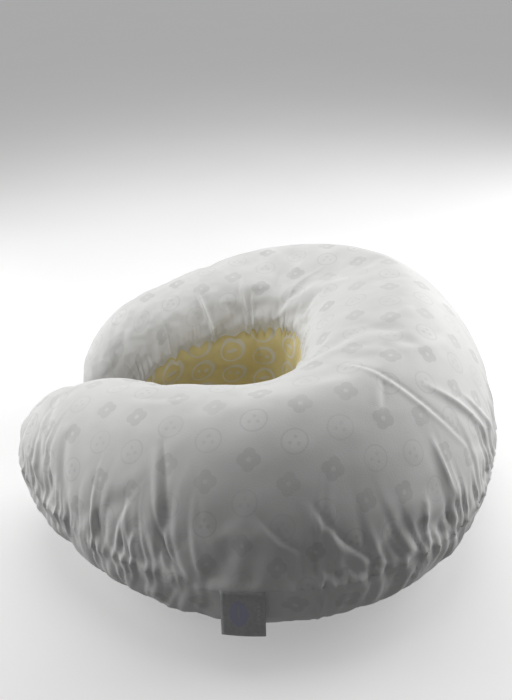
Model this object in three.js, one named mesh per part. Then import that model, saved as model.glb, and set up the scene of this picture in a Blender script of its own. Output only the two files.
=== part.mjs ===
// A C-shaped nursing pillow, in millimetres, +Z up.
//
// The pillow lies flat. Its opening faces -X, the middle of its back is at +X, and its two arms
// lie either side of the plane Y = 0: the right arm at -Y and the left arm at +Y. The origin is
// the middle of its box, at floor level.
//
// A casing of three cloth panels holds a loose fibre fill. The top and bottom panels meet in one
// seam that runs round the outside and both arm tips. A stretch panel is let in between them
// round the waist. Each panel, seam and fill is split in the plane Y = 0, where the back bends
// when the arms are spread.
import * as THREE from "three";

// The centre line of the filled ring, seen from above.
const SPINE_RADIUS = 157;
const SPINE_SHAPE = [0.01, 0.016, -0.068]; // shares of the radius that go with cos(a), cos(2a), cos(3a)
const SPINE_END = 2.92; // radians from the middle of the back to the end of an arm
const SPINE_SHIFT = -27.4; // along X, to bring the middle of the box to the origin

// The section across the ring.
const HALF_WIDTH = 85;
const BACK_WIDTH_SHARE = 1.07; // half-width at the middle of the back, over that at the tips
const TIP_WIDTH_SHARE = 0.63; // what the taper leaves of the half-width at the tips
const CROWN_HEIGHT = 187;
const TIP_CROWN_SHARE = 0.66; // crown height at the tips, over that at the back
const SEAM_HEIGHT = 69;
const TIP_LIFT = 34; // how far the tips' undersides rise off the floor
const TIP_LIFT_START = 0.55; // share of the arm where that rise starts
const TIP_LENGTH = 80; // the rounded end of an arm
const CROWN_LEAN = -0.15; // how far the crown leans outwards, in half-widths
const FLAT_BOTTOM_GAIN = 1.06; // presses the underside flat where it lies on the floor
const OUTER_TOP = { power: 2.1, root: 0.66 };
const INNER_TOP = { power: 2.4, root: 0.5 };
const OUTER_BOTTOM = { power: 2.9, root: 0.5 };
const INNER_BOTTOM = { power: 3.0, root: 0.5 };

// The stretch panel round the waist.
const STRETCH_TOP = 119; // height of its upper seam at the middle of the back
const STRETCH_BOTTOM = 14; // height of its lower seam there
const STRETCH_TAPER = 3.2; // a higher power keeps the panel wide for longer towards its ends

// Cloth, thread and clearances.
const CLOTH = 1.1;
const FILL_GAP = 0.4;
const THREAD = 0.8;
const SEAM_CLEARANCE = 0.3;
const HALF_SEAM = THREAD / 2 + SEAM_CLEARANCE; // half the space between two panels' edges
const MIDDLE_CLEARANCE = 0.15; // each half stops this far from the plane Y = 0

// How finely the surfaces are drawn.
const STATIONS = 24; // from the middle of the back to the tip
const STRETCH_STATIONS = 18; // of those, how many the stretch panel spans
const PANEL_ROWS = 10;
const STRETCH_ROWS = 2; // above the widest line of the inner side, and as many below
const TIP_CROWDING = 1.6; // draws the stations closer together towards the tip

// Labels and the hand-closed stretch of seam.
const LOOP_LABEL = { angle: -1.34, width: 33, length: 38, ribbon: 0.4, loop: 1.0 };
const CARE_LABEL = { angle: 1.34, width: 30, length: 40, ribbon: 0.3, loop: 0.5 };
const LABEL_CLEARANCE = 0.5; // between a label and the seam's widest line
const LABEL_RISE = 3; // a label's top edge above the seam line
const LABEL_TILT = 0.2; // radians that a label stands out from hanging straight down
const CLOSING_STITCH = { from: 0.6, to: 1.05, stitches: 16, reach: 3 };
const STITCH_CLEARANCE = 0.5;

const COLOURS = {
  white_cotton: { color: 0xf1f1ef, roughness: 0.85 },
  printed_stretch: { color: 0xe2c877, roughness: 0.8 },
  white_thread: { color: 0xe9e9e6, roughness: 0.6 },
  polyester_fibre: { color: 0xfafafa, roughness: 0.95 },
  grey_satin: { color: 0x8b8c90, roughness: 0.4 },
  white_satin: { color: 0xf4f4f2, roughness: 0.45 },
};

const clamp = (value, low, high) => Math.min(high, Math.max(low, value));
const mix = (a, b, share) => a + (b - a) * share;

// ---- The ring's centre line --------------------------------------------------------------

function spinePoint(angle) {
  const [one, two, three] = SPINE_SHAPE;
  const swell = one * Math.cos(angle) + two * Math.cos(2 * angle) + three * Math.cos(3 * angle);
  const radius = SPINE_RADIUS * (1 + swell);
  return new THREE.Vector2(radius * Math.cos(angle) + SPINE_SHIFT, radius * Math.sin(angle));
}

function spineTangent(angle) {
  const step = 1e-4;
  return spinePoint(angle + step).sub(spinePoint(angle - step)).normalize();
}

function spineLength(from, to) {
  const steps = 40;
  let length = 0;
  for (let i = 0; i < steps; i++) {
    const a = spinePoint(mix(from, to, i / steps));
    length += a.distanceTo(spinePoint(mix(from, to, (i + 1) / steps)));
  }
  return length;
}

// ---- The skin ----------------------------------------------------------------------------

// The section's sizes at a share of the way from the middle of the back to the tip. A positive
// inset gives the same skin sunk inwards by that much, which is what nests the layers.
function section(share, inset) {
  const end = SPINE_END - inset / SPINE_RADIUS;
  const angle = share * end;
  const along = angle / SPINE_END;
  const toTip = clamp(spineLength(angle, end) / (TIP_LENGTH - inset), 0, 1);
  const cap = Math.sqrt(1 - (1 - toTip) ** 2);
  const side = mix(BACK_WIDTH_SHARE, 1, (1 - Math.cos(angle)) / 2);
  const taper = 1 - (1 - TIP_WIDTH_SHARE) * along ** 3;
  const lift = TIP_LIFT * clamp((along - TIP_LIFT_START) / (1 - TIP_LIFT_START), 0, 1) ** 2;
  const tangent = spineTangent(angle);
  return {
    centre: spinePoint(angle),
    outward: new THREE.Vector2(tangent.y, -tangent.x),
    halfWidth: (HALF_WIDTH * side * taper - inset) * cap,
    rise: cap ** 0.8,
    crown: CROWN_HEIGHT * (1 - (1 - TIP_CROWN_SHARE) * along ** 2) - inset,
    seam: SEAM_HEIGHT + 0.8 * lift,
    floor: lift + inset,
  };
}

// How high the skin stands between the seam line (0) and the crown or underside (1), at a place
// across the section: 1 is the outer side's widest line and -1 the inner side's.
function profile(across, upper) {
  const outer = across >= 0;
  const curve = upper ? (outer ? OUTER_TOP : INNER_TOP) : outer ? OUTER_BOTTOM : INNER_BOTTOM;
  const height = (1 - Math.abs(across) ** curve.power) ** curve.root;
  return upper ? height : Math.min(1, FLAT_BOTTOM_GAIN * height);
}

function skinPoint(cut, across, upper) {
  const height = profile(across, upper);
  const level = upper ? cut.seam + HALF_SEAM : cut.seam - HALF_SEAM;
  const reach = upper ? cut.crown - level : cut.floor - level;
  const lean = upper ? CROWN_LEAN * height : 0;
  const out = cut.halfWidth * (across + lean);
  const x = cut.centre.x + cut.outward.x * out;
  const y = Math.max(cut.centre.y + cut.outward.y * out, MIDDLE_CLEARANCE);
  return new THREE.Vector3(x, y, level + reach * cut.rise * height);
}

const stationShare = (k) => 1 - (1 - k / STATIONS) ** TIP_CROWDING;
const STRETCH_END = stationShare(STRETCH_STATIONS) * 1.002;

// Where across the inner side the outermost skin passes a height. Every layer uses the same
// place, so that their edges lie over each other.
function acrossAtHeight(k, z, upper) {
  const cut = section(stationShare(k), 0);
  if (cut.rise === 0) return -1; // the tip is a single point
  const level = upper ? cut.seam + HALF_SEAM : cut.seam - HALF_SEAM;
  const reach = (upper ? cut.crown : cut.floor) - level;
  const curve = upper ? INNER_TOP : INNER_BOTTOM;
  const gain = upper ? 1 : FLAT_BOTTOM_GAIN;
  const height = clamp((z - level) / (reach * cut.rise * gain), 0, 1);
  return -((1 - height ** (1 / curve.root)) ** (1 / curve.power));
}

// The heights of the seams along the stretch panel, which narrows from the middle of the back to
// a point. Past that point both are the seam between the top and bottom panels.
function innerSeams(k) {
  const { seam } = section(stationShare(k), 0);
  if (k > STRETCH_STATIONS) return { upper: seam, lower: seam };
  const opening = Math.sqrt(1 - (stationShare(k) / STRETCH_END) ** STRETCH_TAPER);
  return {
    upper: mix(seam, STRETCH_TOP, opening),
    lower: mix(seam, STRETCH_BOTTOM, opening),
  };
}

// ---- Layers of the skin as grids of points: one list of points for each station ------------

function stationGrid(lastStation, rowsAt) {
  return Array.from({ length: lastStation + 1 }, (_, k) => rowsAt(k));
}

// From an angle across the section to another, the place across is the angle's cosine.
function arcRows(cut, upper, from, to, rows) {
  const start = Math.acos(from);
  const end = Math.acos(to);
  return Array.from({ length: rows + 1 }, (_, j) => {
    const across = j === 0 ? from : j === rows ? to : Math.cos(mix(start, end, j / rows));
    return skinPoint(cut, across, upper);
  });
}

function topRows(k, inset) {
  const cut = section(stationShare(k), inset);
  const edge = acrossAtHeight(k, innerSeams(k).upper + HALF_SEAM, true);
  return arcRows(cut, true, 1, edge, PANEL_ROWS);
}

function bottomRows(k, inset) {
  const cut = section(stationShare(k), inset);
  const edge = acrossAtHeight(k, innerSeams(k).lower - HALF_SEAM, false);
  return arcRows(cut, false, edge, 1, PANEL_ROWS);
}

function stretchRows(k, inset) {
  const cut = section(stationShare(k), inset);
  const seams = innerSeams(k);
  const high = acrossAtHeight(k, seams.upper - HALF_SEAM, true);
  const low = acrossAtHeight(k, seams.lower + HALF_SEAM, false);
  return [
    ...arcRows(cut, true, high, -1, STRETCH_ROWS),
    ...arcRows(cut, false, -1, low, STRETCH_ROWS),
  ];
}

// ---- Closed solids from grids -------------------------------------------------------------

// Collects triangles, and leaves out those that have shrunk to a line or a point.
class Surface {
  constructor() {
    this.points = [];
  }

  triangle(a, b, c) {
    const area = new THREE.Vector3().subVectors(b, a).cross(new THREE.Vector3().subVectors(c, a));
    if (area.length() > 1e-6) this.points.push(a, b, c);
  }

  quad(a, b, c, d) {
    this.triangle(a, b, c);
    this.triangle(a, c, d);
  }

  // Quads between two lists of points of the same length.
  strip(first, second) {
    for (let i = 0; i + 1 < first.length; i++) {
      this.quad(first[i], second[i], second[i + 1], first[i + 1]);
    }
  }

  // The same quads, split along the same diagonals, that face the other way.
  stripInside(first, second) {
    for (let i = 0; i + 1 < first.length; i++) {
      this.quad(first[i], first[i + 1], second[i + 1], second[i]);
    }
  }

  fan(ring) {
    const middle = ring.reduce((sum, p) => sum.add(p), new THREE.Vector3()).divideScalar(ring.length);
    ring.forEach((p, i) => this.triangle(middle, p, ring[(i + 1) % ring.length]));
  }

  geometry(mirrored) {
    const points = this.points.map((p) => (mirrored ? new THREE.Vector3(p.x, -p.y, p.z) : p));
    if (mirrored) {
      for (let i = 0; i < points.length; i += 3) {
        [points[i + 1], points[i + 2]] = [points[i + 2], points[i + 1]];
      }
    }
    const geometry = new THREE.BufferGeometry().setFromPoints(points);
    geometry.computeVertexNormals();
    return geometry;
  }
}

const column = (grid, j) => grid.map((row) => row.at(j));
const backwards = (list) => [...list].reverse();

// A cloth panel: an outer and an inner skin joined round their edges.
function panelSurface(rowsAt, lastStation) {
  const outer = stationGrid(lastStation, (k) => rowsAt(k, 0));
  const inner = stationGrid(lastStation, (k) => rowsAt(k, CLOTH));
  const surface = new Surface();
  for (let k = 0; k < lastStation; k++) {
    surface.strip(outer[k], outer[k + 1]);
    surface.stripInside(inner[k], inner[k + 1]);
  }
  surface.strip(column(outer, 0), column(inner, 0));
  surface.strip(column(inner, -1), column(outer, -1));
  surface.strip(inner[0], outer[0]);
  surface.strip(outer[lastStation], inner[lastStation]);
  return surface;
}

// The fill: the whole skin, sunk inside the casing, and flat where the two halves meet.
function fillSurface() {
  const inset = CLOTH + FILL_GAP;
  const rings = stationGrid(STATIONS, (k) => {
    const ring = [...topRows(k, inset), ...stretchRows(k, inset), ...bottomRows(k, inset)];
    return [...ring, ring[0]];
  });
  const surface = new Surface();
  for (let k = 0; k < STATIONS; k++) surface.strip(rings[k], rings[k + 1]);
  surface.fan(rings[0].slice(0, -1));
  return surface;
}

// A run of seam thread: a square section swept through a list of places, each place a pair of
// points on the thread's outer and inner side.
function threadSurface(places) {
  const half = THREAD / 2;
  const rings = places.map(([outer, inner]) => [
    new THREE.Vector3(outer.x, outer.y, outer.z - half),
    new THREE.Vector3(outer.x, outer.y, outer.z + half),
    new THREE.Vector3(inner.x, inner.y, inner.z + half),
    new THREE.Vector3(inner.x, inner.y, inner.z - half),
  ]);
  const surface = new Surface();
  for (let i = 0; i + 1 < rings.length; i++) {
    surface.strip([...rings[i], rings[i][0]], [...rings[i + 1], rings[i + 1][0]]);
  }
  surface.fan(rings[0]);
  surface.fan(backwards(rings.at(-1)));
  return surface;
}

const THREAD_INSETS = [0.1, 0.1 + THREAD];

// The thread's place at a station of the seam between the top and bottom panels.
function perimeterPlace(k, across) {
  return THREAD_INSETS.map((inset) => {
    const cut = section(stationShare(k), inset);
    const point = skinPoint(cut, across, true);
    return point.setZ(cut.seam);
  });
}

function perimeterPlaces() {
  const outside = Array.from({ length: STATIONS + 1 }, (_, k) => perimeterPlace(k, 1));
  const inside = [];
  for (let k = STATIONS - 1; k > STRETCH_STATIONS; k--) inside.push(perimeterPlace(k, -1));
  return [...outside, ...inside];
}

// The thread's places along the stretch panel's upper or lower edge, from its point to the middle.
function stretchSeamPlaces(upper) {
  const places = stationGrid(STRETCH_STATIONS, (k) => {
    const seams = innerSeams(k);
    const across = acrossAtHeight(k, upper ? seams.upper : seams.lower, upper);
    return THREAD_INSETS.map((inset) => skinPoint(section(stationShare(k), inset), across, upper));
  });
  return backwards(places);
}

// ---- Labels and the closing stitch ----------------------------------------------------------

// A folded ribbon that hangs from the outer seam, with its fold at the bottom. It is drawn in
// its own frame, with x along the seam, y down and z outwards, and its top edge at the origin.
function labelGeometry({ width, length, ribbon, loop }) {
  const deep = ribbon * 2 + loop;
  const outline = new THREE.Shape();
  const outside = deep / 2;
  outline.moveTo(0, 0);
  outline.lineTo(length - outside, 0);
  outline.absarc(length - outside, outside, outside, -Math.PI / 2, Math.PI / 2, false);
  outline.lineTo(0, deep);
  outline.lineTo(0, deep - ribbon);
  outline.lineTo(length - outside, deep - ribbon);
  outline.absarc(length - outside, outside, loop / 2, Math.PI / 2, -Math.PI / 2, true);
  outline.lineTo(0, ribbon);
  const steps = { depth: width, bevelEnabled: false, curveSegments: 6 };
  return new THREE.ExtrudeGeometry(outline, steps).translate(0, 0, -width / 2);
}

// Puts a label on the seam at an angle round the pillow: its length hangs down and a little out,
// its thickness points out and its width lies along the seam.
function placeLabel(mesh, label) {
  const side = Math.sign(label.angle);
  const cut = section(Math.abs(label.angle) / SPINE_END, -LABEL_CLEARANCE);
  const place = skinPoint(cut, 1, true);
  const outward = new THREE.Vector3(cut.outward.x, side * cut.outward.y, 0);
  const along = new THREE.Vector3(0, 0, -1).cross(outward);
  const down = new THREE.Vector3(0, 0, -1).applyAxisAngle(along, LABEL_TILT);
  mesh.matrixAutoUpdate = false;
  mesh.matrix.makeBasis(down, new THREE.Vector3().crossVectors(along, down), along);
  mesh.matrix.setPosition(place.x, side * place.y, cut.seam + LABEL_RISE);
  return mesh;
}

// Slanting stitches that close the gap through which the casing was filled.
function closingStitchSurface() {
  const { from, to, stitches, reach } = CLOSING_STITCH;
  const insets = [-STITCH_CLEARANCE - THREAD, -STITCH_CLEARANCE];
  const places = Array.from({ length: stitches * 2 + 1 }, (_, i) => {
    const share = mix(from, to, i / (stitches * 2)) / SPINE_END;
    return insets.map((inset) => {
      const cut = section(share, inset);
      return skinPoint(cut, 1, true).setZ(cut.seam + (i % 2 ? reach : -reach));
    });
  });
  return threadSurface(places);
}

// ---- The assembly ----------------------------------------------------------------------------

function material(name) {
  return new THREE.MeshStandardMaterial({ name, metalness: 0, ...COLOURS[name] });
}

function meshOf(name, geometry, materialName) {
  const mesh = new THREE.Mesh(geometry, material(materialName));
  mesh.name = name;
  return mesh;
}

// Everything that is the same on both arms. The right arm mirrors the left one.
function armGroup(side) {
  const mirrored = side === "right";
  const group = new THREE.Group();
  const add = (name, surface, materialName) =>
    group.add(meshOf(`${name}_${side}`, surface.geometry(mirrored), materialName));
  add("top_panel", panelSurface(topRows, STATIONS), "white_cotton");
  add("bottom_panel", panelSurface(bottomRows, STATIONS), "white_cotton");
  add("stretch_panel", panelSurface(stretchRows, STRETCH_STATIONS), "printed_stretch");
  add("fibre_fill", fillSurface(), "polyester_fibre");
  add("outer_seam_thread", threadSurface(perimeterPlaces()), "white_thread");
  add("upper_seam_thread", threadSurface(stretchSeamPlaces(true)), "white_thread");
  add("lower_seam_thread", threadSurface(stretchSeamPlaces(false)), "white_thread");
  return group;
}

function nursingPillow() {
  const group = new THREE.Group();
  const rightArm = armGroup("right");
  const leftArm = armGroup("left");
  const loopLabel = meshOf("loop_label", labelGeometry(LOOP_LABEL), "grey_satin");
  const careLabel = meshOf("care_label", labelGeometry(CARE_LABEL), "white_satin");
  rightArm.add(placeLabel(loopLabel, LOOP_LABEL));
  leftArm.add(placeLabel(careLabel, CARE_LABEL));
  leftArm.add(meshOf("closing_stitch", closingStitchSurface().geometry(false), "white_thread"));
  group.add(rightArm, leftArm);
  return group;
}

const group = nursingPillow();

export default group;
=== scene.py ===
"""A C-shaped nursing pillow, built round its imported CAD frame. Metres, +Z up."""
import math

import bmesh
import bpy
import numpy as np
from mathutils import Matrix, Vector, kdtree, noise
from mathutils.bvhtree import BVHTree


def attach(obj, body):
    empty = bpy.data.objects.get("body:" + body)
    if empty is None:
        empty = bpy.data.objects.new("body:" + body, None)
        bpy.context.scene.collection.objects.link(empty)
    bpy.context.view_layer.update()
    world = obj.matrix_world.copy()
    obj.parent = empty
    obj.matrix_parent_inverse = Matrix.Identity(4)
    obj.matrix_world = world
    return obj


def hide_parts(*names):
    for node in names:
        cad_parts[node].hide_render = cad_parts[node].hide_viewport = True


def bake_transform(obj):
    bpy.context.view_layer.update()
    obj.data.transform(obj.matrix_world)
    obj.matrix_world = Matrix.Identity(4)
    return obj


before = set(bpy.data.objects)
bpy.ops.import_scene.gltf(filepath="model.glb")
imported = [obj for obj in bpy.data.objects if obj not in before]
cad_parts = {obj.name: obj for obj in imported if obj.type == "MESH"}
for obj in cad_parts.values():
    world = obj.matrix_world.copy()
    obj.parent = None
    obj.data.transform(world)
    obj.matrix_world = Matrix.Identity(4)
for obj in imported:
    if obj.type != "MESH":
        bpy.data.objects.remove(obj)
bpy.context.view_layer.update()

# ---- Driving dimensions, the same as the CAD model's ---------------------------------------------

SPINE_RADIUS = 0.157
SPINE_SHAPE = (0.01, 0.016, -0.068)
SPINE_END = 2.92
SPINE_SHIFT = -0.0274
HALF_WIDTH = 0.085
BACK_WIDTH_SHARE = 1.07
TIP_WIDTH_SHARE = 0.63
CROWN_HEIGHT = 0.187
TIP_CROWN_SHARE = 0.66
SEAM_HEIGHT = 0.069
TIP_LIFT = 0.034
TIP_LIFT_START = 0.55
TIP_LENGTH = 0.08
RIGHT_SEAM_RISE, LEFT_SEAM_RISE = 0.8, -0.4  # shares of the tip's lift; the left tip sags
CROWN_LEAN = -0.15
FLAT_BOTTOM_GAIN = 1.06
OUTER_TOP, INNER_TOP = (2.1, 0.66), (2.4, 0.5)
OUTER_BOTTOM, INNER_BOTTOM = (2.9, 0.5), (3.0, 0.5)
STRETCH_TOP = 0.119
STRETCH_BOTTOM = 0.014
STRETCH_TAPER, LEFT_STRETCH_TAPER = 3.2, 3.3
STRETCH_END, LEFT_STRETCH_END = 0.893, 0.94
LABEL_ANGLE = 1.34
LABEL_TILT = 0.2
CLOSING_FROM, CLOSING_TO = 0.6, 1.05

# ---- The skin as a formula -----------------------------------------------------------------------


def spine(angle):
    """The centre line's points and their outward normals, for an array of angles."""
    one, two, three = SPINE_SHAPE

    def point(a):
        swell = one * np.cos(a) + two * np.cos(2 * a) + three * np.cos(3 * a)
        radius = SPINE_RADIUS * (1 + swell)
        return np.stack([radius * np.cos(a) + SPINE_SHIFT, radius * np.sin(a)], -1)

    step = 1e-4
    tangent = point(angle + step) - point(angle - step)
    tangent /= np.linalg.norm(tangent, axis=-1, keepdims=True)
    return point(angle), np.stack([tangent[..., 1], -tangent[..., 0]], -1)


def running_length(points, axis=0):
    """Distance from the first point to each, along one axis of an array of points."""
    steps = np.linalg.norm(np.diff(points, axis=axis), axis=-1)
    start = np.zeros_like(np.take(steps, [0], axis))
    return np.concatenate([start, np.cumsum(steps, axis)], axis)


def ramp(value, start, length):
    """0 up to the start, then rising evenly to 1 over the length."""
    return np.clip((value - start) / length, 0, 1)


def angle_round(points):
    """Each point's angle round the pillow: 0 at the middle of the back, above 0 on the left arm."""
    return np.arctan2(points[:, 1], points[:, 0] - SPINE_SHIFT)


FINE_ANGLES = np.linspace(0, SPINE_END, 2001)
FINE_LENGTHS = running_length(spine(FINE_ANGLES)[0])


def section(share):
    """The section's sizes at shares from -1, the right tip, to 1, the left tip."""
    along = np.abs(share)
    angle = share * SPINE_END
    to_tip = FINE_LENGTHS[-1] - np.interp(along * SPINE_END, FINE_ANGLES, FINE_LENGTHS)
    cap = np.sqrt(1 - (1 - ramp(to_tip, 0, TIP_LENGTH)) ** 2)
    side = BACK_WIDTH_SHARE + (1 - BACK_WIDTH_SHARE) * (1 - np.cos(angle)) / 2
    taper = 1 - (1 - TIP_WIDTH_SHARE) * along**3
    lift = TIP_LIFT * ramp(along, TIP_LIFT_START, 1 - TIP_LIFT_START) ** 2
    centre, outward = spine(angle)
    return {
        "centre": centre,
        "outward": outward,
        "half": HALF_WIDTH * side * taper * cap,
        "rise": cap**0.8,
        "crown": CROWN_HEIGHT * (1 - (1 - TIP_CROWN_SHARE) * along**2),
        "seam": SEAM_HEIGHT + np.where(share > 0, LEFT_SEAM_RISE, RIGHT_SEAM_RISE) * lift,
        "floor": lift,
    }


def profile(across, upper):
    """Height from the seam line, 0, to the crown or underside, 1. across is 1 on the outer side."""
    outer, inner = (OUTER_TOP, INNER_TOP) if upper else (OUTER_BOTTOM, INNER_BOTTOM)
    power = np.where(across >= 0, outer[0], inner[0])
    root = np.where(across >= 0, outer[1], inner[1])
    height = np.clip(1 - np.abs(across) ** power, 0, 1) ** root
    return height if upper else np.minimum(1, FLAT_BOTTOM_GAIN * height)


def skin(share, across, upper):
    """Points of the even skin, before any seam or fold."""
    cut = section(share)
    height = profile(across, upper)
    reach = (cut["crown"] if upper else cut["floor"]) - cut["seam"]
    lean = CROWN_LEAN * height if upper else 0.0
    out = cut["half"] * (across + lean)
    flat = cut["centre"] + cut["outward"] * out[..., None]
    level = cut["seam"] + reach * cut["rise"] * height
    return np.concatenate([flat, level[..., None]], -1)


def stretch_end(share):
    """The share at which the stretch panel ends, on the arm that each share is on."""
    return np.where(share > 0, LEFT_STRETCH_END, STRETCH_END)


def stretch_shares(count):
    """Even shares from one end of the stretch panel to the other."""
    return np.linspace(-STRETCH_END, LEFT_STRETCH_END, count)


def inner_edge(share, upper):
    """Where across the inner side the stretch panel's seam runs; -1 past the panel's ends."""
    cut = section(share)
    taper = np.where(share > 0, LEFT_STRETCH_TAPER, STRETCH_TAPER)
    opening = np.sqrt(np.clip(1 - (np.abs(share) / stretch_end(share)) ** taper, 0, 1))
    goal = STRETCH_TOP if upper else STRETCH_BOTTOM
    reach = ((cut["crown"] if upper else cut["floor"]) - cut["seam"]) * cut["rise"]
    power, root = INNER_TOP if upper else INNER_BOTTOM
    gain = 1 if upper else FLAT_BOTTOM_GAIN
    climb = (goal - cut["seam"]) * opening / np.where(np.abs(reach) < 1e-9, 1, reach * gain)
    return -((1 - np.clip(climb, 0, 1) ** (1 / root)) ** (1 / power))


# ---- Panels as grids of points: one row across the panel for each share along the pillow ---------


def crowded(count, power=1.5):
    """Shares from -1 to 1, closer together towards both ends."""
    even = np.linspace(-1, 1, count)
    return np.sign(even) * (1 - (1 - np.abs(even)) ** power)


def arc_grid(shares, start, end, rows, upper):
    """Rows of points spaced evenly round the section between two angles, whose cosine is across."""
    steps = np.linspace(0, 1, rows)[None, :]
    turn = start[:, None] + (end - start)[:, None] * steps
    share = np.repeat(shares[:, None], rows, 1)
    return skin(share, np.cos(turn), upper)


def top_grid(shares, rows):
    return arc_grid(shares, 0 * shares, np.arccos(inner_edge(shares, True)), rows, True)


def bottom_grid(shares, rows):
    return arc_grid(shares, 0 * shares, np.arccos(inner_edge(shares, False)), rows, False)


def stretch_grid(shares, rows):
    widest = np.full_like(shares, math.pi)
    above = arc_grid(shares, np.arccos(inner_edge(shares, True)), widest, rows // 2, True)
    below = arc_grid(shares, widest, np.arccos(inner_edge(shares, False)), rows // 2, False)
    return np.concatenate([above, below[:, 1:]], 1)


def grid_normals(points):
    along = np.gradient(points, axis=0)
    across = np.gradient(points, axis=1)
    normal = np.cross(across, along)
    return normal / np.maximum(np.linalg.norm(normal, axis=-1, keepdims=True), 1e-12)


# ---- Meshes --------------------------------------------------------------------------------------


def add_object(name, mesh):
    made = bpy.data.objects.new(name, mesh)
    bpy.context.scene.collection.objects.link(made)
    return made


def grid_object(name, points, flat, turned):
    """An object of quads through a grid of points, with the cut cloth's flat places as its UVs."""
    rows, columns = points.shape[:2]
    index = np.arange(rows * columns).reshape(rows, columns)
    quads = np.stack([index[:-1, :-1], index[:-1, 1:], index[1:, 1:], index[1:, :-1]], -1)
    quads = quads.reshape(-1, 4)[:, ::-1] if turned else quads.reshape(-1, 4)
    mesh = bpy.data.meshes.new(name)
    mesh.from_pydata(points.reshape(-1, 3).tolist(), [], quads.tolist())
    corners = np.empty(len(mesh.loops), int)
    mesh.loops.foreach_get("vertex_index", corners)
    layer = mesh.uv_layers.new(name="flat")
    layer.uv.foreach_set("vector", flat.reshape(-1, 2)[corners].ravel())
    mesh.shade_smooth()
    return add_object(name, mesh)


def applied(made):
    """Bakes an object's modifiers into its mesh."""
    graph = bpy.context.evaluated_depsgraph_get()
    baked = bpy.data.meshes.new_from_object(made.evaluated_get(graph))
    made.modifiers.clear()
    made.data = baked
    return made


def places(mesh):
    flat = np.empty(len(mesh.vertices) * 3, np.float32)
    mesh.vertices.foreach_get("co", flat)
    return flat.reshape(-1, 3).astype(float)


def place(mesh, points):
    mesh.vertices.foreach_set("co", points.astype(np.float32).ravel())
    mesh.update()


# ---- The filled casing, by cloth simulation ------------------------------------------------------

VOXEL = 0.006
SLACK = 0.03  # share by which the cloth is cut larger than the fill, in the middle of a panel
SEAM_SLACK = 0.15  # the same beside a seam, where the cloth is gathered
SEAM_REACH = 0.03
SEAM_GRIP = 0.004
LYING_HEIGHT = 0.03  # below this the floor begins to hold the cloth
ROUND_TIP_FROM, LEFT_TIP_FROM = 2.2, 1.8  # angles where the tips' calmer cloth begins
FILL_HOLD = 0.03  # how firmly the fill holds the cloth where it lies
PRESSURE = 1.2
FRAMES = 20
MOVE_CAP = 0.012


def seam_lines():
    """Points along the outer seam and both seams of the stretch panel."""
    shares = crowded(801)
    beyond = shares[np.abs(shares) >= stretch_end(shares)]
    within = shares[np.abs(shares) < stretch_end(shares)]
    return np.concatenate([
        skin(shares, np.ones_like(shares), True),
        skin(beyond, -np.ones_like(beyond), True),
        skin(within, inner_edge(within, True), True),
        skin(within, inner_edge(within, False), False),
    ])


def closed_casing():
    """The three panels as one closed mesh of even quads."""
    shares = crowded(301)
    within = stretch_shares(201)
    joined = bmesh.new()
    for points in (top_grid(shares, 61), bottom_grid(shares, 41), stretch_grid(within, 24)):
        verts = [[joined.verts.new(p) for p in row] for row in points.tolist()]
        for first, second in zip(verts, verts[1:]):
            for k in range(len(first) - 1):
                joined.faces.new((first[k], second[k], second[k + 1], first[k + 1]))
    mesh = bpy.data.meshes.new("casing")
    joined.to_mesh(mesh)
    joined.free()
    casing = add_object("casing", mesh)
    remesh = casing.modifiers.new("even", "REMESH")
    remesh.mode = "VOXEL"
    remesh.voxel_size = VOXEL
    return applied(casing)


def nearest_distances(points, targets):
    tree = kdtree.KDTree(len(targets))
    for k, target in enumerate(targets):
        tree.insert(target, k)
    tree.balance()
    return np.array([tree.find(point)[2] for point in points])


def add_weights(made, name, weights):
    group = made.vertex_groups.new(name=name)
    for k, weight in enumerate(weights.tolist()):
        group.add([k], weight, "REPLACE")


def simulate(casing, start):
    """Lets the cloth, cut larger than its fill, buckle against the fill and the seams."""
    to_seam = nearest_distances(start, seam_lines())
    lying = 0.5 * ramp(-start[:, 2], -LYING_HEIGHT, 0.02)
    grip = 0.9 * np.exp(-((to_seam / SEAM_GRIP) ** 2))
    round_tip = ramp(np.abs(angle_round(start)), ROUND_TIP_FROM, 0.6)
    left_tip = ramp(angle_round(start), LEFT_TIP_FROM, 0.5)
    add_weights(casing, "slack", np.exp(-((to_seam / SEAM_REACH) ** 2)) * (1 - 0.6 * round_tip))
    add_weights(casing, "hold", np.maximum.reduce([grip, lying, FILL_HOLD + 0.5 * left_tip]))
    cloth = casing.modifiers.new("cloth", "CLOTH")
    settings = cloth.settings
    settings.quality = 4
    settings.mass = 0.3
    settings.tension_stiffness = settings.compression_stiffness = 15
    settings.shear_stiffness = 5
    settings.bending_stiffness = 0.05
    settings.use_pressure = True
    settings.uniform_pressure_force = PRESSURE
    settings.effector_weights.gravity = 0
    settings.vertex_group_mass = "hold"
    settings.pin_stiffness = 1
    settings.vertex_group_shrink = "slack"
    settings.shrink_min = -SLACK
    settings.shrink_max = -SEAM_SLACK
    cloth.point_cache.frame_start, cloth.point_cache.frame_end = 1, FRAMES
    for step in range(1, FRAMES + 1):
        bpy.context.scene.frame_set(step)
    end = places(applied(casing).data)
    bpy.context.scene.frame_set(1)
    return end


def roughened(mesh):
    """Places moved off an even surface by a fraction of a millimetre, so that folds can start."""
    points = places(mesh)
    lift = [0.0006 * noise.noise(v.co * 60) for v in mesh.vertices]
    normals = np.array([v.normal for v in mesh.vertices])
    return points + normals * np.array(lift)[:, None]


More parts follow.
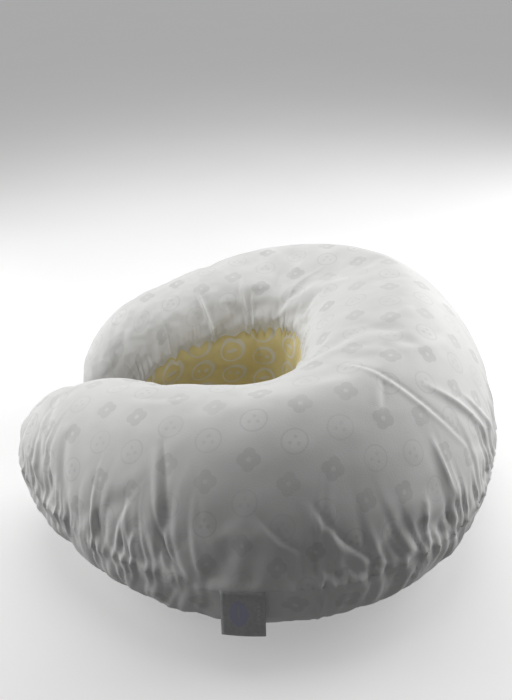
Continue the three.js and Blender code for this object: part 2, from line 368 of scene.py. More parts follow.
def smoothed_pair(casing, start, end):
    """The casing's places before and after, on the same mesh with one level of subdivision."""
    finer = []
    for points in (start, end):
        place(casing.data, points)
        subdivide = casing.modifiers.new("finer", "SUBSURF")
        subdivide.levels = subdivide.render_levels = 1
        graph = bpy.context.evaluated_depsgraph_get()
        finer.append(bpy.data.meshes.new_from_object(casing.evaluated_get(graph)))
        casing.modifiers.clear()
    return finer


class Filling:
    """How far the filled casing's skin has moved from the formula's, at any place on it."""

    def __init__(self):
        casing = closed_casing()
        start = places(casing.data)
        place(casing.data, roughened(casing.data))
        end = simulate(casing, start)
        move = end - start
        length = np.linalg.norm(move, axis=1, keepdims=True)
        move *= np.minimum(1, MOVE_CAP / np.maximum(length, 1e-9))
        before, after = smoothed_pair(casing, start, start + move)
        self.casing = casing
        self.triangles = self.split(before)
        self.before = places(before)
        self.move = places(after) - self.before
        self.tree = BVHTree.FromPolygons(self.before.tolist(), self.triangles.tolist())

    @staticmethod
    def split(mesh):
        mesh.calc_loop_triangles()
        corners = np.empty(len(mesh.loop_triangles) * 3, int)
        mesh.loop_triangles.foreach_get("vertices", corners)
        return corners.reshape(-1, 3)

    def moved(self, points):
        """The skin's moved places for a grid of its places."""
        flat = points.reshape(-1, 3)
        found = [self.tree.find_nearest(point) for point in flat.tolist()]
        at = np.array([hit[0] for hit in found])
        corners = self.triangles[[hit[2] for hit in found]]
        a, b, c = (self.before[corners[:, k]] for k in range(3))
        area = np.linalg.norm(np.cross(b - a, c - a), axis=1)
        share_b = np.linalg.norm(np.cross(at - a, c - a), axis=1) / area
        share_c = np.linalg.norm(np.cross(b - a, at - a), axis=1) / area
        shares = np.stack([1 - share_b - share_c, share_b, share_c], 1)
        move = (self.move[corners] * shares[..., None]).sum(1).reshape(points.shape)
        return points + even_out(move)


def even_out(values, rounds=2):
    """Averages a grid of values with their neighbours, and leaves the grid's edge rows in step."""
    for _ in range(rounds):
        padded = np.pad(values, ((1, 1), (1, 1), (0, 0)), "edge")
        along = (padded[:-2, 1:-1] + padded[2:, 1:-1] + 2 * values) / 4
        padded = np.pad(along, ((1, 1), (1, 1), (0, 0)), "edge")
        values = (padded[1:-1, :-2] + padded[1:-1, 2:] + 2 * along) / 4
        values[:, [0, -1]] = along[:, [0, -1]]
    return values


# ---- Seams, puckers and creases ------------------------------------------------------------------

SEAM_PROUD = 0.002
SEAM_SOFTNESS = 0.008
WAIST_SOFTNESS = 0.006
WAIST_GATHERS = 46
WAIST_SCALLOP = 0.006
WAIST_DRAWN_IN = 0.0025
LARGE_PUCKERS = {"spacing": 0.0095, "reach": 0.034, "depth": 0.0025, "widths": (0.0012, 0.0028),
                 "slant": -0.35, "seed": 11}
SMALL_PUCKERS = {"spacing": 0.005, "reach": 0.012, "depth": 0.0008, "widths": (0.0009, 0.0016),
                 "slant": -0.35, "seed": 13}
WAIST_PUCKERS = {"spacing": 0.006, "reach": 0.024, "depth": 0.002, "widths": (0.0008, 0.0019),
                 "slant": 0, "seed": 12}


def wander(share, seed, waves=9, pitch=14.0):
    """A smooth seeded wave along the pillow, between about -1 and 1."""
    random = np.random.default_rng(seed)
    total = np.zeros_like(share)
    for _ in range(waves):
        total += np.sin(share * random.uniform(0.5, 2) * pitch + random.uniform(0, 2 * math.pi))
    return total / math.sqrt(waves)


def outer_seam_shift(share):
    """How the outer seam stands proud of the even skin and wanders up and down."""
    cut = section(share)
    tip = ramp(np.abs(share), 0.75, 0.2)
    out = SEAM_PROUD * (1 + 0.35 * wander(share, 3, pitch=40)) * (1 - 0.7 * tip) * cut["rise"]
    out += np.interp(share, *SEAM_LINE_PUCKERS)
    at_label = np.exp(-(((np.abs(share) - LABEL_ANGLE / SPINE_END) * 8) ** 2))
    up = (0.002 * wander(share, 4, pitch=25) + 0.002 * at_label) * cut["rise"]
    return np.concatenate([cut["outward"] * out[..., None], up[..., None]], -1)


def waist_seam_shift(share):
    """How the stretch panel's upper seam scallops between the gathers and draws in."""
    cut = section(share)
    beat = np.abs(np.sin(share * math.pi * WAIST_GATHERS / 2 + 1.2 * wander(share, 5, pitch=20)))
    open_end = ramp(stretch_end(share) - np.abs(share), 0, 0.1)
    up = WAIST_SCALLOP * (beat - 0.5) * open_end * (1 + 0.4 * wander(share, 6, pitch=30))
    inside = WAIST_DRAWN_IN * open_end * np.ones_like(share)
    return np.concatenate([cut["outward"] * inside[..., None], up[..., None]], -1)


def pucker_field(along, away, spacing, reach, depth, widths, slant, seed):
    """Crisp ridges with soft valleys that leave a seam, by distance along and from it."""
    random = np.random.default_rng(seed)
    count = int(along.max() / spacing)
    height = np.zeros_like(along)
    for k in range(count):
        centre = (k + random.uniform(0.1, 0.9)) * spacing
        length = reach * random.uniform(0.35, 1.5)
        lean = slant + 0.15 * math.sin(35 * centre) + random.normal(0, 0.07)
        bow = random.normal(-8 * slant, 1.5)
        width = random.uniform(*widths)
        strength = depth * random.uniform(0.3, 1)
        side = along - centre - lean * away - bow * away**2
        near = (np.abs(side) < 12 * width) & (away < 2.5 * length)
        if not near.any():
            continue
        crest = np.exp(-np.abs(side[near]) / width)
        valley = np.exp(-(((side[near] - 2.4 * width) / (1.8 * width)) ** 2))
        fade = np.exp(-((away[near] / length) ** 2))
        height[near] += strength * fade * (crest - 0.9 * valley)
    return height


def seam_puckers(share, along, away):
    """The outer seam's puckers: lively at the front of the back's right side, calm at the labels."""
    angle = share * SPINE_END
    beside_label = np.exp(-(((np.abs(angle) - LABEL_ANGLE) / 0.14) ** 4))
    lively = 0.9 + 0.5 * np.exp(-(((angle + 0.8) / 0.5) ** 2))
    calm = 0.5 * np.exp(-(((angle - 2.6) / 0.5) ** 2))
    height = pucker_field(along, away, **LARGE_PUCKERS)
    height += pucker_field(along, away, **SMALL_PUCKERS)
    return height * (lively - calm) * (1 - 0.9 * beside_label) * section(share)["rise"]


def seam_line_puckers():
    """The puckers' height on the outer seam itself, at closely spaced shares."""
    shares = crowded(3001)
    along = running_length(skin(shares, np.ones_like(shares), True))
    return shares, seam_puckers(shares, along, np.zeros_like(shares))


SEAM_LINE_PUCKERS = seam_line_puckers()

# Long folds of the top panel: where each starts and ends, as (angle round the pillow, place
# across it), how far it bows sideways, how high it stands (negative for a valley) and how wide.
FOLDS = (
    ((-0.76, -0.08), (-0.58, 0.86), 0.006, 0.0018, 0.0014),
    ((-0.57, -0.3), (-0.12, 0.5), 0.02, 0.0018, 0.003),
    ((-0.3, -0.35), (-0.05, 0.2), 0.012, -0.0024, 0.004),
    ((-0.75, 0.3), (-0.84, 0.46), 0.0, 0.0016, 0.0025),
    ((-0.61, 0.51), (-0.42, 0.94), -0.004, -0.0034, 0.0028),
    ((-0.46, 0.7), (-0.31, 0.95), 0.003, -0.003, 0.0025),
    ((-0.73, 0.72), (-0.7, 0.98), 0.004, -0.0032, 0.0028),
    ((-1.15, 0.78), (-0.97, 0.99), 0.004, 0.0026, 0.0022),
    ((-1.3, 0.8), (-1.14, 0.95), 0.003, 0.0018, 0.002),
    ((-0.83, 0.88), (-0.83, 0.99), 0.004, -0.003, 0.0025),
    ((-1.66, 0.5), (-1.6, 0.985), -0.009, 0.003, 0.0024),
    ((-1.61, 0.9), (-1.5, 0.99), 0.003, 0.003, 0.0022),
    ((-1.9, 0.9), (-1.85, 0.99), 0.003, 0.002, 0.002),
    ((-1.7, 0.93), (-1.69, 0.99), 0.002, -0.003, 0.002),
    ((-2.35, 0.8), (-2.26, 0.98), -0.005, 0.0022, 0.0025),
    ((-2.5, 0.9), (-2.33, 0.99), -0.004, -0.0026, 0.0025),
    ((2.1, -0.37), (2.06, -0.95), 0.001, -0.005, 0.0011),
    ((1.75, -0.4), (1.76, -0.93), 0.002, -0.004, 0.0011),
    ((1.68, -0.62), (1.67, -0.93), 0.001, -0.004, 0.0011),
    ((1.21, -0.1), (1.2, -0.92), 0.01, -0.0026, 0.0035),
    ((1.0, -0.2), (1.02, -0.92), 0.012, -0.0022, 0.0035),
    ((1.4, -0.3), (1.42, -0.92), 0.004, 0.0016, 0.003),
    ((0.7, -0.2), (0.8, -0.9), 0.01, -0.002, 0.004),
    ((-2.0, 0.1), (-1.7, 0.0), 0.004, 0.0012, 0.0022),
)


def fold_path(start, end, bow):
    """Points and sideways directions along a fold on the even skin."""
    steps = np.linspace(0, 1, 60)
    angle = start[0] + (end[0] - start[0]) * steps
    turn = np.arccos(start[1]) + (np.arccos(end[1]) - np.arccos(start[1])) * steps
    path = skin(angle / SPINE_END, np.cos(turn), True)
    forward = np.gradient(path, axis=0)
    forward /= np.linalg.norm(forward, axis=1, keepdims=True)
    middle = np.array([SPINE_SHIFT, 0, 0])
    side = np.cross(forward, path - middle)
    side /= np.linalg.norm(side, axis=1, keepdims=True)
    return path + side * (bow * np.sin(math.pi * steps))[:, None], side


def fold_field(points):
    """The long folds' height at each point of the even skin."""
    flat = points.reshape(-1, 3)
    height = np.zeros(len(flat))
    for start, end, bow, depth, width in FOLDS:
        path, side = fold_path(start, end, bow)
        low, high = path.min(0) - 8 * width, path.max(0) + 8 * width
        near = np.where(((flat > low) & (flat < high)).all(1))[0]
        if len(near) == 0:
            continue
        apart = flat[near][:, None] - path[None]
        far = np.linalg.norm(apart, axis=2)
        closest = far.argmin(1)
        across = (apart[np.arange(len(near)), closest] * side[closest]).sum(1)
        distance = far[np.arange(len(near)), closest]
        share = closest / (len(path) - 1)
        fade = np.sin(math.pi * np.clip(share, 0.02, 0.98)) ** 0.6
        crest = np.exp(-distance / width)
        valley = np.exp(-(((across - 2.4 * width) / (2 * width)) ** 2 + (distance / (6 * width)) ** 2))
        height[near] += depth * fade * (crest - (0.55 if depth > 0 else 0.15) * valley)
    return height.reshape(points.shape[:-1])


# ---- The three panels ----------------------------------------------------------------------------

TOP_SIZE = (1000, 190)
BOTTOM_SIZE = (800, 80)
STRETCH_SIZE = (260, 50)
FLOOR_CLEARANCE = 0.0004


def soft_step(distance, softness):
    """1 on a seam, fading to 0 away from it, with an axis added for points."""
    return np.exp(-((distance / softness) ** 2))[..., None]


def settled(points):
    """Keeps cloth from going through the floor it lies on."""
    points[..., 2] = np.maximum(points[..., 2], FLOOR_CLEARANCE)
    return points


def top_panel(filling):
    shares = crowded(TOP_SIZE[0])
    even = top_grid(shares, TOP_SIZE[1])
    away = running_length(even, 1)
    to_waist = away[:, -1:] - away
    share = np.repeat(shares[:, None], TOP_SIZE[1], 1)
    along = np.repeat(running_length(even[:, 0])[:, None], TOP_SIZE[1], 1)
    waist = np.repeat(running_length(even[:, -1])[:, None], TOP_SIZE[1], 1)
    points = filling.moved(even)
    points += outer_seam_shift(share) * soft_step(away, SEAM_SOFTNESS)
    points += waist_seam_shift(share) * soft_step(to_waist, WAIST_SOFTNESS)
    tapered = ramp(away[:, -1:], 0, 0.1)
    off_seam = 1 - soft_step(away, SEAM_SOFTNESS)[..., 0]
    off_waist = 1 - soft_step(to_waist, WAIST_SOFTNESS)[..., 0]
    gathers = pucker_field(waist, to_waist, **WAIST_PUCKERS)
    gathers *= 1 - 0.5 * ramp(share, 0.6, 0.15)
    height = tapered * (seam_puckers(share, along, away) * off_seam + gathers * off_waist)
    height += fold_field(even)
    points += grid_normals(points) * height[..., None]
    crown = running_length(top_grid(shares, 41), 1)[:, 20:21]
    flat = section(share)["centre"] + section(share)["outward"] * (crown - away)[..., None]
    return points, flat


def bottom_panel(filling):
    shares = crowded(BOTTOM_SIZE[0])
    even = bottom_grid(shares, BOTTOM_SIZE[1])
    away = running_length(even, 1)
    share = np.repeat(shares[:, None], BOTTOM_SIZE[1], 1)
    along = np.repeat(running_length(even[:, 0])[:, None], BOTTOM_SIZE[1], 1)
    points = filling.moved(even)
    points += outer_seam_shift(share) * soft_step(away, SEAM_SOFTNESS)
    height = seam_puckers(share, along, away) * (1 - soft_step(away, SEAM_SOFTNESS)[..., 0])
    points -= grid_normals(points) * height[..., None]
    flat = section(share)["centre"] + section(share)["outward"] * (0.07 - away)[..., None]
    return settled(points), flat


def stretch_panel(filling):
    shares = stretch_shares(STRETCH_SIZE[0])
    even = stretch_grid(shares, STRETCH_SIZE[1])
    down = running_length(even, 1)
    share = np.repeat(shares[:, None], even.shape[1], 1)
    along = np.repeat(running_length(even[:, 0])[:, None], even.shape[1], 1)
    points = filling.moved(even)
    points += waist_seam_shift(share) * soft_step(down, WAIST_SOFTNESS)
    return points, np.stack([along, down], -1)


# ---- Baking each piece in place ------------------------------------------------------------------

BEND_HALF_ANGLE = 0.6


def bend_with_arms(made):
    """Bakes the piece's transform into its mesh and works out each point's share of the way round the back;
    nothing bends, and the share is not used.
    """
    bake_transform(made)
    share = ramp(angle_round(places(made.data)), -BEND_HALF_ANGLE, 2 * BEND_HALF_ANGLE)


# ---- Materials -----------------------------------------------------------------------------------


class Nodes:
    """A new material and short names for the shader nodes it uses."""

    def __init__(self, name):
        self.material = bpy.data.materials.new(name)
        self.material.use_nodes = True
        self.tree = self.material.node_tree
        self.shader = self.tree.nodes["Principled BSDF"]

    def feed(self, socket, value):
        if isinstance(value, bpy.types.NodeSocket):
            self.tree.links.new(value, socket)
        else:
            socket.default_value = value

    def add(self, kind, inputs=None, **settings):
        node = self.tree.nodes.new(kind)
        for key, value in settings.items():
            setattr(node, key, value)
        for key, value in (inputs or {}).items():
            self.feed(node.inputs[key], value)
        return node

    def math(self, operation, *values):
        node = self.add("ShaderNodeMath", operation=operation)
        for socket, value in zip(node.inputs, values):
            self.feed(socket, value)
        return node.outputs[0]

    def most(self, first, *rest):
        """The largest of several values."""
        for value in rest:
            first = self.math("MAXIMUM", first, value)
        return first

    def mix(self, share, first, second):
        node = self.add("ShaderNodeMix", {0: share, 6: first, 7: second}, data_type="RGBA")
        return node.outputs[2]

    def spread(self, scale, low, high, detail=3.0):
        """Smooth noise through the object, from low to high."""
        place = self.add("ShaderNodeTexCoord").outputs["Object"]
        speckle = self.add("ShaderNodeTexNoise", {"Vector": place, "Scale": scale, "Detail": detail})
        fit = self.add("ShaderNodeMapRange", {"Value": speckle.outputs[0], 1: 0.3, 2: 0.7, 3: low, 4: high})
        return fit.outputs[0]

    def bump(self, height, distance, strength=1.0):
        values = {"Height": height, "Distance": distance, "Strength": strength}
        node = self.add("ShaderNodeBump", values)
        self.feed(self.shader.inputs["Normal"], node.outputs[0])

    def finish(self, **inputs):
        for key, value in inputs.items():
            self.feed(self.shader.inputs[key.replace("_", " ")], value)
        return self.material


def motif_cell(nodes, wide, high):
    """Places in metres from the middle of each cell of a half-drop repeat, and a 0 or 1 per cell."""
    flat = nodes.add("ShaderNodeUVMap", uv_map="flat").outputs[0]
    parts = nodes.add("ShaderNodeSeparateXYZ", {0: flat})
    across = nodes.math("DIVIDE", parts.outputs[0], wide)
    column = nodes.math("FLOOR", across)
    drop = nodes.math("MULTIPLY", nodes.math("FLOORED_MODULO", column, 2.0), 0.5)
    down = nodes.math("ADD", nodes.math("DIVIDE", parts.outputs[1], high), drop)
    odd = nodes.math("FLOORED_MODULO", nodes.math("FLOOR", down), 2.0)
    x = nodes.math("MULTIPLY", nodes.math("SUBTRACT", nodes.math("FRACT", across), 0.5), wide)
    y = nodes.math("MULTIPLY", nodes.math("SUBTRACT", nodes.math("FRACT", down), 0.5), high)
    return x, y, odd


def distance_from(nodes, x, y, at):
    over = nodes.math("SUBTRACT", x, at[0])
    up = nodes.math("SUBTRACT", y, at[1])
    square = nodes.math("ADD", nodes.math("MULTIPLY", over, over), nodes.math("MULTIPLY", up, up))
    return nodes.math("SQRT", square)


def inside(nodes, distance, radius, soft=0.0004):
    """1 inside a radius and 0 outside, with a soft edge."""
    edge = {"Value": distance, 1: radius - soft, 2: radius + soft, 3: 1.0, 4: 0.0}
    return nodes.add("ShaderNodeMapRange", edge).outputs[0]


def ring(nodes, distance, radius, half_line):
    return inside(nodes, nodes.math("ABSOLUTE", nodes.math("SUBTRACT", distance, radius)), half_line)


def leaf(nodes, x, y, at, length, width):
    """A pointed oval that lies along x."""
    radius = (length * length + width * width) / (4 * width)
    offset = radius - width / 2
    above = distance_from(nodes, x, y, (at[0], at[1] + offset))
    below = distance_from(nodes, x, y, (at[0], at[1] - offset))
    return inside(nodes, nodes.math("MAXIMUM", above, below), radius, 0.0003)


def choose(nodes, pick, first, second):
    """first where pick is 0 and second where it is 1."""
    rest = nodes.math("MULTIPLY", first, nodes.math("SUBTRACT", 1.0, pick))
    return nodes.math("ADD", rest, nodes.math("MULTIPLY", second, pick))


def white_cotton():
    """Matt white cloth with a faint print of flowers and ringed dots, a little darker than it."""
    nodes = Nodes("white_cotton")
    x, y, odd = motif_cell(nodes, 0.03, 0.03)
    middle = distance_from(nodes, x, y, (0, 0))
    outline = ring(nodes, middle, 0.0092, 0.0006)
    dots = [inside(nodes, distance_from(nodes, x, y, at), 0.0014)
            for at in ((-0.003, -0.0015), (0.003, -0.0015), (0.0, 0.0032))]
    ringed = nodes.most(outline, *dots)
    petals = [inside(nodes, distance_from(nodes, x, y, at), 0.0045)
              for at in ((0.0042, 0), (-0.0042, 0), (0, 0.0042), (0, -0.0042))]
    flower = nodes.math("SUBTRACT", nodes.most(*petals), inside(nodes, middle, 0.0018))
    printed = choose(nodes, odd, nodes.math("MULTIPLY", ringed, 0.7), flower)
    faded = nodes.math("MULTIPLY", printed, nodes.spread(18, 0.4, 0.9))
    cloth = nodes.mix(nodes.spread(35, 0.0, 1.0), (0.80, 0.80, 0.79, 1), (0.86, 0.86, 0.85, 1))
    colour = nodes.mix(faded, cloth, (0.69, 0.69, 0.68, 1))
    nodes.bump(nodes.spread(900, 0.0, 1.0, 2.0), 0.00015, 0.3)
    return nodes.finish(Base_Color=colour, Roughness=nodes.spread(60, 0.78, 0.92), Sheen_Weight=0.15,
                        Sheen_Roughness=0.5, Specular_IOR_Level=0.25)


def printed_stretch():
    """Ochre stretch cloth printed with pale rings, thicker on one side, round small leaves."""
    nodes = Nodes("printed_stretch")
    x, y, odd = motif_cell(nodes, 0.034, 0.028)
    x = nodes.math("MULTIPLY", x, 0.88)
    outer = inside(nodes, distance_from(nodes, x, y, (0, 0)), 0.0118)
    inner = inside(nodes, distance_from(nodes, x, y, (0.0012, 0.0008)), 0.0092)
    band = nodes.math("SUBTRACT", outer, inner)
    blade = leaf(nodes, x, y, (0.001, 0), 0.011, 0.004)
    large_spot = inside(nodes, distance_from(nodes, x, y, (-0.003, 0.001)), 0.0022)
    small_spot = inside(nodes, distance_from(nodes, x, y, (0.004, -0.001)), 0.0016)
    spots = nodes.most(large_spot, small_spot)
    printed = nodes.most(band, choose(nodes, odd, blade, spots))
    cloth = nodes.mix(nodes.spread(50, 0.0, 1.0), (0.74, 0.63, 0.31, 1), (0.82, 0.71, 0.36, 1))
    colour = nodes.mix(nodes.math("MULTIPLY", printed, 0.8), cloth, (0.76, 0.74, 0.68, 1))
    nodes.bump(nodes.spread(1100, 0.0, 1.0, 2.0), 0.0002, 0.5)
    return nodes.finish(Base_Color=colour, Roughness=nodes.spread(60, 0.75, 0.9), Sheen_Weight=0.1,
                        Sheen_Roughness=0.5, Specular_IOR_Level=0.2)


def plain_cloth(name, dark, light, roughness, scale, gloss=0.3):
    nodes = Nodes(name)
    colour = nodes.mix(nodes.spread(scale, 0.0, 1.0), (*dark, 1), (*light, 1))
    nodes.bump(nodes.spread(scale * 12, 0.0, 1.0), 0.0002, 0.5)
    return nodes.finish(Base_Color=colour, Roughness=nodes.spread(scale, *roughness),
                        Specular_IOR_Level=gloss)


def grey_satin():
    """Grey woven satin with a slate leaf and a row of small dots, across the ribbon's own UVs."""
    nodes = Nodes("grey_satin")
    flat = nodes.add("ShaderNodeUVMap", uv_map="flat").outputs[0]
    parts = nodes.add("ShaderNodeSeparateXYZ", {0: flat})
    x, y = parts.outputs[0], parts.outputs[1]
    blade = leaf(nodes, y, x, (0.0215, 0.003), 0.024, 0.014)
    rib = leaf(nodes, y, x, (0.0215, 0.003), 0.02, 0.0012)
    mark = nodes.math("SUBTRACT", blade, rib)
    spacing = nodes.math("SUBTRACT", nodes.math("FRACT", nodes.math("DIVIDE", y, 0.004)), 0.5)
    dot_place = nodes.math("MULTIPLY", spacing, 0.004)
    dot = inside(nodes, distance_from(nodes, x, dot_place, (-0.0115, 0)), 0.0009, 0.0002)
    from_middle = nodes.math("ABSOLUTE", nodes.math("SUBTRACT", y, 0.022))
    row = nodes.math("MULTIPLY", dot, inside(nodes, from_middle, 0.011))
    cloth = nodes.mix(nodes.spread(400, 0.0, 1.0), (0.36, 0.36, 0.37, 1), (0.44, 0.44, 0.45, 1))
    colour = nodes.mix(mark, cloth, (0.34, 0.35, 0.47, 1))
    colour = nodes.mix(nodes.math("MULTIPLY", row, 0.6), colour, (0.55, 0.55, 0.58, 1))
    nodes.bump(nodes.spread(1500, 0.0, 1.0), 0.0001, 0.5)
    return nodes.finish(Base_Color=colour, Roughness=nodes.spread(300, 0.35, 0.5), Specular_IOR_Level=0.5,
                        Sheen_Weight=0.1)


# ---- Threads, labels and fill --------------------------------------------------------------------

THREAD_RADIUS, CLOSING_THREAD_RADIUS = 0.0003, 0.0004
THREAD_INSET = 0.0014
STITCH_PITCH, STITCH_SWING = 0.0028, 0.0003
CLOSING_STITCHES = 17
CLOSING_INSET, CLOSING_REACH = 0.0022, 0.0036
RIBBON_THICKNESS = 0.0004
LOOP_LABEL = {"width": 0.033, "length": 0.038, "curl": 0.001}
CARE_LABEL = {"width": 0.03, "length": 0.04, "curl": 0.003}
FILL_INSET, FILL_LUMPS = 0.0085, 0.0025


def tube_parts(path, radius, sides=5):
    """Rings of points round a path, as a grid whose columns close on themselves."""
    forward = np.gradient(path, axis=0)
    forward /= np.linalg.norm(forward, axis=1, keepdims=True)
    side = np.cross(forward, [0.0, 0.0, 1.0])
    side /= np.maximum(np.linalg.norm(side, axis=1, keepdims=True), 1e-9)
    over = np.cross(side, forward)
    turn = np.linspace(0, 2 * math.pi, sides, endpoint=False)
    ring_points = side[:, None] * np.cos(turn)[None, :, None] + over[:, None] * np.sin(turn)[None, :, None]
    return path[:, None] + radius * ring_points


def tube_object(name, paths, radius):
    """Closed tubes along one or more paths, as one object."""
    verts, faces = [], []
    for path in paths:
        rings = tube_parts(path, radius)
        count, sides = rings.shape[:2]
        base = len(verts)
        verts.extend(rings.reshape(-1, 3).tolist())
        for i in range(count - 1):
            for j in range(sides):
                a, b = base + i * sides + j, base + i * sides + (j + 1) % sides
                faces.append((a, b, b + sides, a + sides))
        faces.append(tuple(base + j for j in range(sides))[::-1])
        faces.append(tuple(base + (count - 1) * sides + j for j in range(sides)))
    mesh = bpy.data.meshes.new(name)
    mesh.from_pydata(verts, [], faces)
    mesh.shade_smooth()
    return add_object(name, mesh)


def lock_stitches(path, outward):
    """A path resampled so that it dips once for each stitch."""
    length = running_length(path)
    steps = np.arange(0, length[-1], STITCH_PITCH / 4)
    points = np.stack([np.interp(steps, length, path[:, k]) for k in range(3)], 1)
    normals = np.stack([np.interp(steps, length, outward[:, k]) for k in range(3)], 1)
    return points + normals * (STITCH_SWING * np.sin(steps / STITCH_PITCH * 2 * math.pi))[:, None]


def level(outward):
    """Directions in the floor's plane as directions in space."""
    return np.concatenate([outward, np.zeros((len(outward), 1))], 1)


def seam_threads(top, stretch):
    """The threads of the three seams, laid just inside the cloth's edges."""
    shares = crowded(TOP_SIZE[0])
    around = level(section(shares)["outward"])
    outer = lock_stitches(top[:, 0] - around * THREAD_INSET, around)
    inner_shares = stretch_shares(STRETCH_SIZE[0])
    inward = level(section(inner_shares)["outward"])
    upper = lock_stitches(stretch[:, 0] + inward * THREAD_INSET, inward)
    lower = lock_stitches(stretch[:, -1] + inward * THREAD_INSET, inward)
    return (
        tube_object("outer_seam_thread", [outer], THREAD_RADIUS),
        tube_object("upper_seam_thread", [upper], THREAD_RADIUS),
        tube_object("lower_seam_thread", [lower], THREAD_RADIUS),
    )


def closing_stitches(top):
    """Hand stitches that slant over the outer seam where the casing was closed."""
    shares = crowded(TOP_SIZE[0])
    outward = section(shares)["outward"]
    paths = []
    for angle in np.linspace(CLOSING_FROM, CLOSING_TO, CLOSING_STITCHES):
        k = int(np.searchsorted(shares, angle / SPINE_END))
        out = np.array([*outward[k], 0])
        along = np.array([-out[1], out[0], 0])
        bend = np.linspace(-1.2, 1.2, 9)[:, None]
        ridge = top[k, 0] - out * CLOSING_INSET
        swing = CLOSING_REACH * (np.cos(bend) * out + np.sin(bend) * np.array([0, 0, 1]))
        paths.append(ridge + swing + along * bend * 0.002)
    return tube_object("closing_stitches", paths, CLOSING_THREAD_RADIUS)


def ribbon_path(length):
    """A folded ribbon from its root down the front, round the fold and up: (way down, way out)."""
    root = [(0.0, -0.003), (0.0, 0.0004), (0.0022, 0.0012), (0.006, 0.0021), (0.012, 0.0019)]
    front = [(d, 0.0014 + 0.0003 * math.sin(d * 160)) for d in np.linspace(0.016, length - 0.001, 12)]
    fold = [(length, 0.0007), (length - 0.001, 0.0)]
    back = [(d, 0.0) for d in np.linspace(length - 0.003, 0.003, 10)] + [(0.0008, -0.003)]
    return np.array(root + front + fold + back)


def ribbon_loop(name, side, width, length, curl):
    """A folded ribbon whose top edge comes out of the outer seam, drawn by its middle surface."""
    share = np.array([side * LABEL_ANGLE / SPINE_END])
    cut = section(share)
    edge = skin(share, np.ones(1), True)[0] + outer_seam_shift(share)[0]
    out = np.array([*cut["outward"][0], 0])
    along = np.array([-out[1], out[0], 0]) * side
    down = np.array([0, 0, -math.cos(LABEL_TILT)]) + out * math.sin(LABEL_TILT)
    face = np.cross(along, down)
    face *= np.sign(face @ out)
    path = ribbon_path(length)
    columns = np.linspace(-0.5, 0.5, 13)
    sway = curl * np.cos(columns * math.pi) - curl
    points = (edge + down * path[:, None, :1] + face * path[:, None, 1:]
              + along * (columns * width)[None, :, None]
              + face * (sway[None, :] * ramp(path[:, :1], 0, length))[..., None])
    flat = np.stack(np.broadcast_arrays((columns * width)[None, :], running_length(path)[:, None]), -1)
    made = grid_object(name, points, flat, side < 0)
    thicken = made.modifiers.new("thicken", "SOLIDIFY")
    thicken.thickness = RIBBON_THICKNESS
    thicken.offset = 0
    return applied(made)


def fibre_fill(filling):
    """The loose fibre inside the casing, a little lumpy."""
    made = filling.casing
    made.name = "fibre_fill"
    mesh = made.data
    normals = np.array([v.normal for v in mesh.vertices])
    lumps = np.array([noise.noise(v.co * 45) for v in mesh.vertices])
    place(mesh, places(mesh) - normals * (FILL_INSET + FILL_LUMPS * lumps)[:, None])
    mesh.shade_smooth()
    return made


# ---- Putting the pillow together -----------------------------------------------------------------


def both(node):
    """The CAD's right and left halves of a piece."""
    return f"{node}_right", f"{node}_left"


def dress(made, material):
    made.data.materials.clear()
    made.data.materials.append(material)


def build_pillow():
    filling = Filling()
    cotton, stretch_cloth = white_cotton(), printed_stretch()
    thread = plain_cloth("white_thread", (0.74, 0.74, 0.73), (0.82, 0.82, 0.81), (0.5, 0.65), 300)
    fibre = plain_cloth("polyester_fibre", (0.84, 0.84, 0.84), (0.92, 0.92, 0.92), (0.9, 1.0), 120)
    satin = plain_cloth("white_satin", (0.80, 0.80, 0.79), (0.87, 0.87, 0.86), (0.35, 0.5), 250, 0.5)
    top, top_flat = top_panel(filling)
    bottom, bottom_flat = bottom_panel(filling)
    stretch, stretch_flat = stretch_panel(filling)
    outer_thread, upper_thread, lower_thread = seam_threads(top, stretch)
    soft = (
        (grid_object("top_panel", top, top_flat, True), cotton, "white_cotton"),
        (grid_object("bottom_panel", bottom, bottom_flat, False), cotton, "white_cotton"),
        (grid_object("stretch_panel", stretch, stretch_flat, True), stretch_cloth, "printed_stretch"),
        (fibre_fill(filling), fibre, "polyester_fibre"),
        (outer_thread, thread, "white_thread"),
        (upper_thread, thread, "white_thread"),
        (lower_thread, thread, "white_thread"),
    )
    for made, material, slot in soft:
        dress(made, material)
        bend_with_arms(made)
        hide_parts(*both(made.name))
    loop_ribbon = ribbon_loop("loop_ribbon", -1, **LOOP_LABEL)
    care_ribbon = ribbon_loop("care_ribbon", 1, **CARE_LABEL)
    rigid = (
        (closing_stitches(top), thread, "white_thread", "left_arm", "closing_stitch"),
        (loop_ribbon, grey_satin(), "grey_satin", "loop_label_flap", "loop_label"),
        (care_ribbon, satin, "white_satin", "care_label_flap", "care_label"),
    )
    for made, material, slot, body, node in rigid:
        dress(made, material)
        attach(made, body)
        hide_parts(node)


# ---- Stage ---------------------------------------------------------------------------------------

CAMERA_AZIMUTH = 0.189
CAMERA_ELEVATION = 0.57
CAMERA_ROLL = -0.059
CAMERA_DISTANCE = 0.7625
CAMERA_AIM = Vector((SPINE_SHIFT, 0, 0.0735))
FOCAL_SHARE = 1.0971  # the focal length over the picture's longer side
FRAME_SHIFT = (0.0258, 0.0759)
SENSOR_SIZE = 36
FLOOR_HALF = 12
WORLD_STRENGTH = 0.12
LAMPS = (  # each lamp's name, place, aim, width and power
    ("right_window", (1.0, 0.5, 0.4), (0.0, 0.0, 0.08), 1.0, 11),
    ("left_window", (-1.0, 0.0, 0.28), (0.0, 0.1, 0.08), 0.9, 7),
    ("overhead", (-0.05, 0.4, 1.0), (-0.03, 0.1, 0.1), 1.2, 6),
)


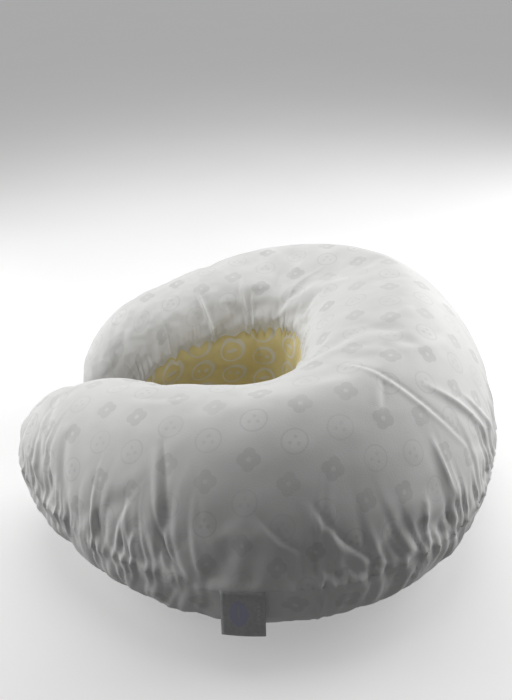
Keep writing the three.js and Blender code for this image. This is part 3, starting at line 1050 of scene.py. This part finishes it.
def make_camera():
    data = bpy.data.cameras.new("camera")
    camera = add_object("camera", data)
    back = Vector((
        math.sin(CAMERA_AZIMUTH) * math.cos(CAMERA_ELEVATION),
        -math.cos(CAMERA_AZIMUTH) * math.cos(CAMERA_ELEVATION),
        math.sin(CAMERA_ELEVATION),
    ))
    right = Vector((0, 0, 1)).cross(back).normalized()
    up = back.cross(right)
    turned_right = right * math.cos(CAMERA_ROLL) + up * math.sin(CAMERA_ROLL)
    turned_up = up * math.cos(CAMERA_ROLL) - right * math.sin(CAMERA_ROLL)
    turn = Matrix((turned_right, turned_up, back)).transposed()
    camera.matrix_world = Matrix.Translation(CAMERA_AIM + back * CAMERA_DISTANCE) @ turn.to_4x4()
    data.sensor_width = SENSOR_SIZE
    data.lens = SENSOR_SIZE * FOCAL_SHARE
    data.shift_x, data.shift_y = FRAME_SHIFT
    bpy.context.scene.camera = camera


def area_light(name, place, aim, size, power):
    data = bpy.data.lights.new(name, "AREA")
    data.shape = "DISK"
    data.size = size
    data.energy = power
    light = add_object(name, data)
    light.location = place
    light.rotation_euler = (Vector(aim) - Vector(place)).to_track_quat("-Z", "Y").to_euler()


def make_floor():
    mesh = bpy.data.meshes.new("floor")
    corners = [(x * FLOOR_HALF, y * FLOOR_HALF, 0) for x, y in ((-1, -1), (1, -1), (1, 1), (-1, 1))]
    mesh.from_pydata(corners, [], [(0, 1, 2, 3)])
    floor = add_object("floor", mesh)
    nodes = Nodes("floor")
    colour = nodes.mix(nodes.spread(3, 0.0, 1.0), (0.78, 0.78, 0.78, 1), (0.82, 0.82, 0.82, 1))
    mesh.materials.append(nodes.finish(Base_Color=colour, Roughness=nodes.spread(8, 0.7, 0.8),
                                       Emission_Color=(1.0, 1.0, 1.0, 1), Emission_Strength=0.3))
    floor.visible_diffuse = False


def make_light():
    world = bpy.data.worlds.new("world")
    bpy.context.scene.world = world
    world.use_nodes = True
    background = world.node_tree.nodes["Background"]
    background.inputs[0].default_value = (1, 1, 1, 1)
    background.inputs[1].default_value = WORLD_STRENGTH
    for lamp in LAMPS:
        area_light(*lamp)
    bpy.context.scene.view_settings.view_transform = "Standard"


build_pillow()
make_camera()
make_floor()
make_light()
